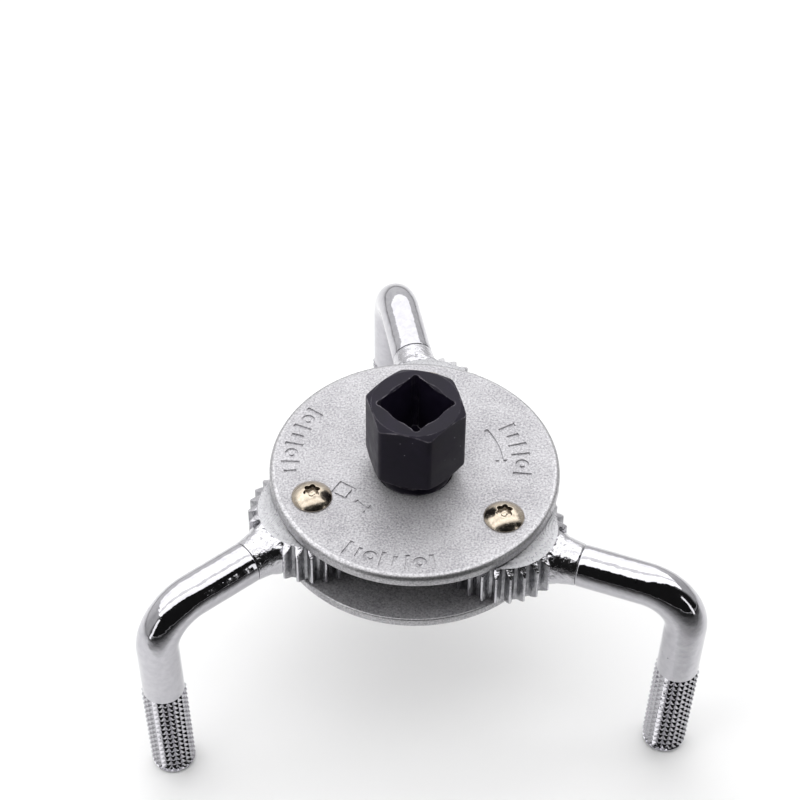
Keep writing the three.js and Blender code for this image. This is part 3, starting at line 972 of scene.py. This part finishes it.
def spindle():
    """A chamfered hexagon on a stepped shaft, with a hexagonal shank for the sun gear."""
    floor = HEX_TOP - HEX_HEIGHT
    slope = math.tan(math.radians(30))
    corner = HEX_FLATS / math.sqrt(3)
    outline = rounded_polygon(6, HEX_FLATS, HEX_AZIMUTH, HEX_CORNER, 5)
    body = prism("drive_spindle_forging", outline, floor, HEX_TOP)
    over = 0.1
    cone = [(0, floor), (corner - HEX_BOTTOM_CHAMFER, floor),
            (corner + over, floor + (HEX_BOTTOM_CHAMFER + over) * slope),
            (corner + over, HEX_TOP - (HEX_TOP_CHAMFER + over) * slope),
            (corner - HEX_TOP_CHAMFER, HEX_TOP), (0, HEX_TOP)]
    boolean(body, turned("cone", cone, 144), "INTERSECT")
    groove_floor, groove_ceiling = ring_low.z - GROOVE_PLAY, ring_high.z + GROOVE_PLAY
    undercut_top = floor - UNDERCUT_FILLET
    shaft = [(0, spindle_low.z), (JOURNAL_RADIUS - JOURNAL_EDGE, spindle_low.z),
             (JOURNAL_RADIUS, spindle_low.z + JOURNAL_EDGE), (JOURNAL_RADIUS, groove_floor),
             (GROOVE_RADIUS, groove_floor), (GROOVE_RADIUS, groove_ceiling),
             (JOURNAL_RADIUS, groove_ceiling), (JOURNAL_RADIUS, GEAR_FLOOR + 1),
             (SHOULDER_RADIUS, GEAR_FLOOR + 1), (SHOULDER_RADIUS, GEAR_CEILING + 0.3),
             (NECK_RADIUS, GEAR_CEILING + 0.3), (NECK_RADIUS, top_high.z - NECK_TOP_EDGE),
             (UNDERCUT_RADIUS, top_high.z + 0.1), (UNDERCUT_RADIUS, undercut_top)]
    wide = UNDERCUT_RADIUS + UNDERCUT_FILLET
    shaft += arc(UNDERCUT_FILLET, 180, 90, 5, (wide, undercut_top))[1:]
    shaft += [(wide, floor + 1), (0, floor + 1)]
    boolean(body, turned("shaft", shaft, 96), "UNION")
    shank = prism("shank", rounded_polygon(6, SHANK_FLATS, 0, 0.4, 3),
                  GEAR_FLOOR, GEAR_CEILING + 0.6)
    boolean(body, shank, "UNION")
    for tool in socket_tools():
        boolean(body, tool, "DIFFERENCE")
    return bevel(body, FORGED_EDGE, angle=20, segments=4)


def socket_tools():
    """The square hole with relieved corners, its lead-in and the drill point under it."""
    floor = HEX_TOP - SQUARE_DEPTH
    half = SQUARE_SIDE / 2
    outline = []
    for k in range(4):
        angle = SQUARE_AZIMUTH + 90 * k
        reach = half * math.sqrt(2) - RELIEF_RADIUS
        centre = (reach * math.cos(math.radians(angle)), reach * math.sin(math.radians(angle)))
        outline += arc(RELIEF_RADIUS, angle - 80, angle + 80, 8, centre)
    square = prism("square", outline, floor, HEX_TOP + 1)
    lead = turned("lead", [(0, HEX_TOP - LEAD_IN - 1), (half - 1, HEX_TOP - LEAD_IN - 1),
                           (half + LEAD_IN + 1, HEX_TOP + 1), (0, HEX_TOP + 1)], 96)
    drill = turned("drill", [(0, floor - DRILL_DEPTH), (2.0, floor - DRILL_DEPTH),
                             (DRILL_RADIUS, floor + 0.02), (DRILL_RADIUS, floor + 1),
                             (0, floor + 1)], 64)
    return square, lead, drill


drive = spindle()
smooth(drive, 30)
finish_piece(drive, ["drive_spindle"], "drive", [PHOSPHATE])


# ------------------------------------------------------------------ retaining ring

CLIP_INSIDE = 5.6
CLIP_NARROW = 1.35
CLIP_SWELL = 0.6
CLIP_HALF_GAP = 24
EYE_REACH = 6.85
EYE_RADIUS = 1.1
EYE_HOLE = 0.5
EDGE_BREAK = 0.07


def circlip():
    """An external retaining ring, widest opposite its gap, with an eye at each end."""
    outline, inner = [], []
    steps = 48
    for k in range(steps + 1):
        angle = math.radians(CLIP_HALF_GAP + (360 - 2 * CLIP_HALF_GAP) * k / steps)
        width = CLIP_NARROW + CLIP_SWELL * (1 - math.cos(angle)) / 2
        outline.append((CLIP_INSIDE + width, angle))
        inner.append((CLIP_INSIDE, angle))
    points = [(r * math.cos(a), r * math.sin(a)) for r, a in outline + inner[::-1]]
    body = prism("retaining_clip", points, ring_low.z, ring_high.z)
    for side in (-1, 1):
        angle = math.radians(side * (CLIP_HALF_GAP + 3))
        centre = (EYE_REACH * math.cos(angle), EYE_REACH * math.sin(angle))
        eye = prism("eye", arc(EYE_RADIUS, 0, 360, 24, centre)[:-1], ring_low.z, ring_high.z)
        boolean(body, eye, "UNION")
        hole = prism("eye_hole", arc(EYE_HOLE, 0, 360, 20, centre)[:-1],
                     ring_low.z - 1, ring_high.z + 1)
        boolean(body, hole, "DIFFERENCE")
    return bevel(body, EDGE_BREAK, angle=30)


clip = circlip()
smooth(clip)
finish_piece(clip, ["retaining_ring"], "drive", [STEEL])


# ------------------------------------------------------------------ screws and posts

SCREW_HEAD_RADIUS = 4.75
SCREW_HEAD_HEIGHT = screw_high.z - top_high.z
SCREW_DEPTH = top_high.z - screw_low.z
SCREW_SHANK = 2.5
SCREW_EDGE = 0.35
RECESS_DEPTH = 1.55
RECESS_RADIUS = 2.14
LOBE_INSIDE = 1.52
LOBE_REACH = 0.58


def button_screw():
    """A button head with a six-lobe recess, its underside at z = 0."""
    rise = SCREW_HEAD_HEIGHT - SCREW_EDGE
    centre_drop = (SCREW_HEAD_RADIUS ** 2 - rise ** 2) / (2 * rise)
    sphere = centre_drop + rise
    dome = []
    for k in range(17):
        radius = SCREW_HEAD_RADIUS * (1 - k / 16)
        dome.append((radius, SCREW_EDGE + math.sqrt(sphere ** 2 - radius ** 2) - centre_drop))
    profile = [(0, -SCREW_DEPTH), (SCREW_SHANK - 0.5, -SCREW_DEPTH),
               (SCREW_SHANK, 0.5 - SCREW_DEPTH), (SCREW_SHANK, 0),
               (SCREW_HEAD_RADIUS - 0.15, 0), (SCREW_HEAD_RADIUS, 0.12)] + dome
    body = turned("button_screw", profile, 96)
    lobes = []
    for k in range(96):
        angle = k / 96 * TAU
        wave = (1 + math.cos(6 * angle)) / 2
        radius = LOBE_INSIDE + LOBE_REACH * wave ** 0.8
        lobes.append((radius * math.cos(angle), radius * math.sin(angle)))
    floor = SCREW_HEAD_HEIGHT - RECESS_DEPTH
    boolean(body, prism("recess", lobes, floor, SCREW_HEAD_HEIGHT + 1), "DIFFERENCE")
    cone = turned("cone", [(0, floor - 0.4), (0.8, floor + 0.01), (0.8, floor + 0.3),
                           (0, floor + 0.3)], 48)
    boolean(body, cone, "DIFFERENCE")
    bevel(body, EDGE_BREAK, angle=30)
    # The recess walls get the dark painted-shade material; the recess floor keeps the bright finish.
    for polygon in body.data.polygons:
        centre = polygon.center / MM
        inside = centre.xy.length < RECESS_RADIUS and 0 < centre.z < SCREW_HEAD_HEIGHT - 0.12
        wall = abs(polygon.normal.z) < 0.8
        polygon.material_index = 1 if inside and wall else 0
    return smooth(body, 30)


screw_names = [f"top_screw_head_{leg}" for leg in LEGS]
screws = copies(button_screw(), screw_names, lambda i: pivot_matrix(i, top_high.z))
for leg, obj in zip(LEGS, screws):
    finish_piece(obj, [f"top_screw_{leg}"], "carrier", [SCREW_FINISH, RECESS])

screw_names = [f"bottom_screw_head_{leg}" for leg in LEGS]
screws = copies(button_screw(), screw_names, lambda i: pivot_matrix(i, bottom_low.z, True))
for leg, obj in zip(LEGS, screws):
    finish_piece(obj, [f"bottom_screw_{leg}"], "carrier", [SCREW_FINISH, RECESS])

for leg in LEGS:
    post = frame["nodes"][f"pivot_post_{leg}"]
    post.data.materials.clear()
    post.data.materials.append(STEEL)


# ------------------------------------------------------------------ floor, light and camera

# Sizes and places in this section are in metres.
FLOOR_SIZE = 3.0
FLOOR_HEIGHT = cad_low.z
FLAG_LIFT = 0.0004
FLAG_NEAR, FLAG_FAR = 0.07, 1.2
OPENING_AZIMUTH = math.radians(-62)
OPENING = Vector((math.cos(OPENING_AZIMUTH), math.sin(OPENING_AZIMUTH), 0))
TOP_WIDTH, TOP_HEIGHT = 0.70, 0.212
STRIP_HEIGHT, STRIP_RADIANCE = 0.34, 1.6
FILL_PLACE = OPENING * 0.55 + Vector((0, 0, 0.75))
FILL_WIDTH, FILL_HEIGHT, FILL_RADIANCE = 1.1, 0.8, 0.85
TOP_BARS = [  # front edge, back edge, radiance
    (0.112, 0.025, 1.80), (0.025, -0.022, 0.72), (-0.022, -0.16, 1.62), (-0.16, -0.40, 1.0)]


def flat_card(name, near, far, side, height):
    """A level rectangle from near to far along its own Y, side metres to each side."""
    mesh = bpy.data.meshes.new(name)
    corners = [(-side, near, height), (side, near, height), (side, far, height),
               (-side, far, height)]
    mesh.from_pydata(corners, [], [(0, 1, 2, 3)])
    obj = bpy.data.objects.new(name, mesh)
    bpy.context.scene.collection.objects.link(obj)
    return obj


def floor():
    """Pale paper under the feet."""
    obj = flat_card("floor", -FLOOR_SIZE, FLOOR_SIZE, FLOOR_SIZE, FLOOR_HEIGHT)
    s = Shader("floor_paper")
    s.set(Roughness=0.9)
    s.set(Base_Color=s.ramp(s.noise(180, detail=2), (0.3, 0.88), (0.7, 0.91)))
    obj.data.materials.append(s.material)


def studio():
    """A light tent: pale walls behind and beside the tool, and a dark opening in front."""
    world = bpy.data.worlds.new("studio")
    bpy.context.scene.world = world
    world.use_nodes = True
    s = Nodes(world.node_tree)
    background = s.tree.nodes["Background"]
    direction = s.place.node.outputs["Generated"]
    split = s.tree.nodes.new("ShaderNodeSeparateXYZ")
    s.link(direction, split.inputs[0])
    forward = s.tree.nodes.new("ShaderNodeVectorMath")
    forward.operation = "DOT_PRODUCT"
    s.link(direction, forward.inputs[0])
    forward.inputs[1].default_value = OPENING
    height = s.ramp(split.outputs["Z"], (0.0, 0.9), (0.6, 1.0))
    round_it = s.remap(forward.outputs["Value"], -1, 1, 0, 1)
    walls = s.ramp(round_it, (0.0, 1.0), (0.2, 0.85), (0.35, 0.6), (0.56, 0.6), (0.65, 0.012))
    s.link(s.mix("MULTIPLY", 1.0, walls, height), background.inputs["Color"])
    background.inputs["Strength"].default_value = 1.0


def panel(name, place, direction, width, height, radiance, reflected=True):
    """A soft light shining along direction; the camera never sees it, mirrors if reflected."""
    light = bpy.data.lights.new(name, "AREA")
    light.shape = "RECTANGLE"
    light.size, light.size_y = width, height
    light.energy = radiance * width * height * math.pi
    obj = bpy.data.objects.new(name, light)
    bpy.context.scene.collection.objects.link(obj)
    forward = Vector(direction).normalized()
    across = forward.cross(Vector((0, 0, 1)))
    if across.length < 0.01:
        across = Vector((OPENING.y, -OPENING.x, 0))
    across.normalize()
    matrix = Matrix((across, across.cross(forward), -forward)).transposed().to_4x4()
    obj.matrix_world = Matrix.Translation(place) @ matrix
    obj.visible_camera = False
    obj.visible_glossy = reflected


def black_flag():
    """A dark card low in front that fades in, seen only as a reflection in the chrome."""
    obj = flat_card("black_flag", FLAG_NEAR, FLAG_FAR, FLAG_FAR, 0)
    turn = Matrix.Rotation(OPENING_AZIMUTH - math.pi / 2, 4, "Z")
    obj.matrix_world = Matrix.Translation((0, 0, FLOOR_HEIGHT + FLAG_LIFT)) @ turn
    s = Shader("black_card")
    split = s.tree.nodes.new("ShaderNodeSeparateXYZ")
    s.link(s.place, split.inputs[0])
    fade = s.ramp(s.math("ADD", split.outputs["Y"], s.math("MULTIPLY", s.noise(60), 0.004)),
                  (0.068, 0.0), (0.105, 0.5), (0.17, 0.85), (0.38, 1.0))
    s.set(Base_Color=(0.01, 0.01, 0.01, 1), Roughness=0.9, Alpha=fade)
    obj.data.materials.append(s.material)
    obj.visible_camera = False
    obj.visible_diffuse = False
    obj.visible_shadow = False


def camera():
    """Looks down at the tool from the front at the photograph's angle."""
    sensor, focal_share = 36, 3.125
    elevation, distance = 48.06, 0.5895
    azimuth, roll = 6.53, 1.04
    e, r = math.radians(elevation), math.radians(roll)
    turn = Matrix.Rotation(math.radians(azimuth), 3, "Z")
    back = turn @ Vector((0, -math.cos(e), math.sin(e)))
    level = turn @ Vector((1, 0, 0))
    upright = back.cross(level)
    right = math.cos(r) * level + math.sin(r) * upright
    up = math.cos(r) * upright - math.sin(r) * level
    data = bpy.data.cameras.new("camera")
    data.sensor_width = sensor
    data.lens = sensor * focal_share
    data.shift_x, data.shift_y = -0.01846, 0.08229
    data.clip_start, data.clip_end = 0.01, 20
    obj = bpy.data.objects.new("camera", data)
    bpy.context.scene.collection.objects.link(obj)
    target = Vector((0, 0, top_high.z)) * MM
    obj.matrix_world = Matrix.Translation(target + distance * back) @ \
        Matrix((right, up, back)).transposed().to_4x4()
    bpy.context.scene.camera = obj


floor()
studio()
for bar, (front, back, radiance) in enumerate(TOP_BARS):
    panel(f"top_light_{bar}", OPENING * (front + back) / 2 + Vector((0, 0, TOP_HEIGHT)),
          (0, 0, -1), TOP_WIDTH, front - back, radiance)
panel("left_strip", (-0.36, -0.44, 0.13), (0.31, 0.40, 0), 0.09, STRIP_HEIGHT, STRIP_RADIANCE)
panel("right_strip", (0.53, -0.19, 0.13), (-0.47, 0.17, 0), 0.08, STRIP_HEIGHT, STRIP_RADIANCE)
panel("front_fill", FILL_PLACE, -FILL_PLACE, FILL_WIDTH, FILL_HEIGHT, FILL_RADIANCE,
      reflected=False)
black_flag()
camera()
bpy.context.scene.view_settings.view_transform = "Standard"
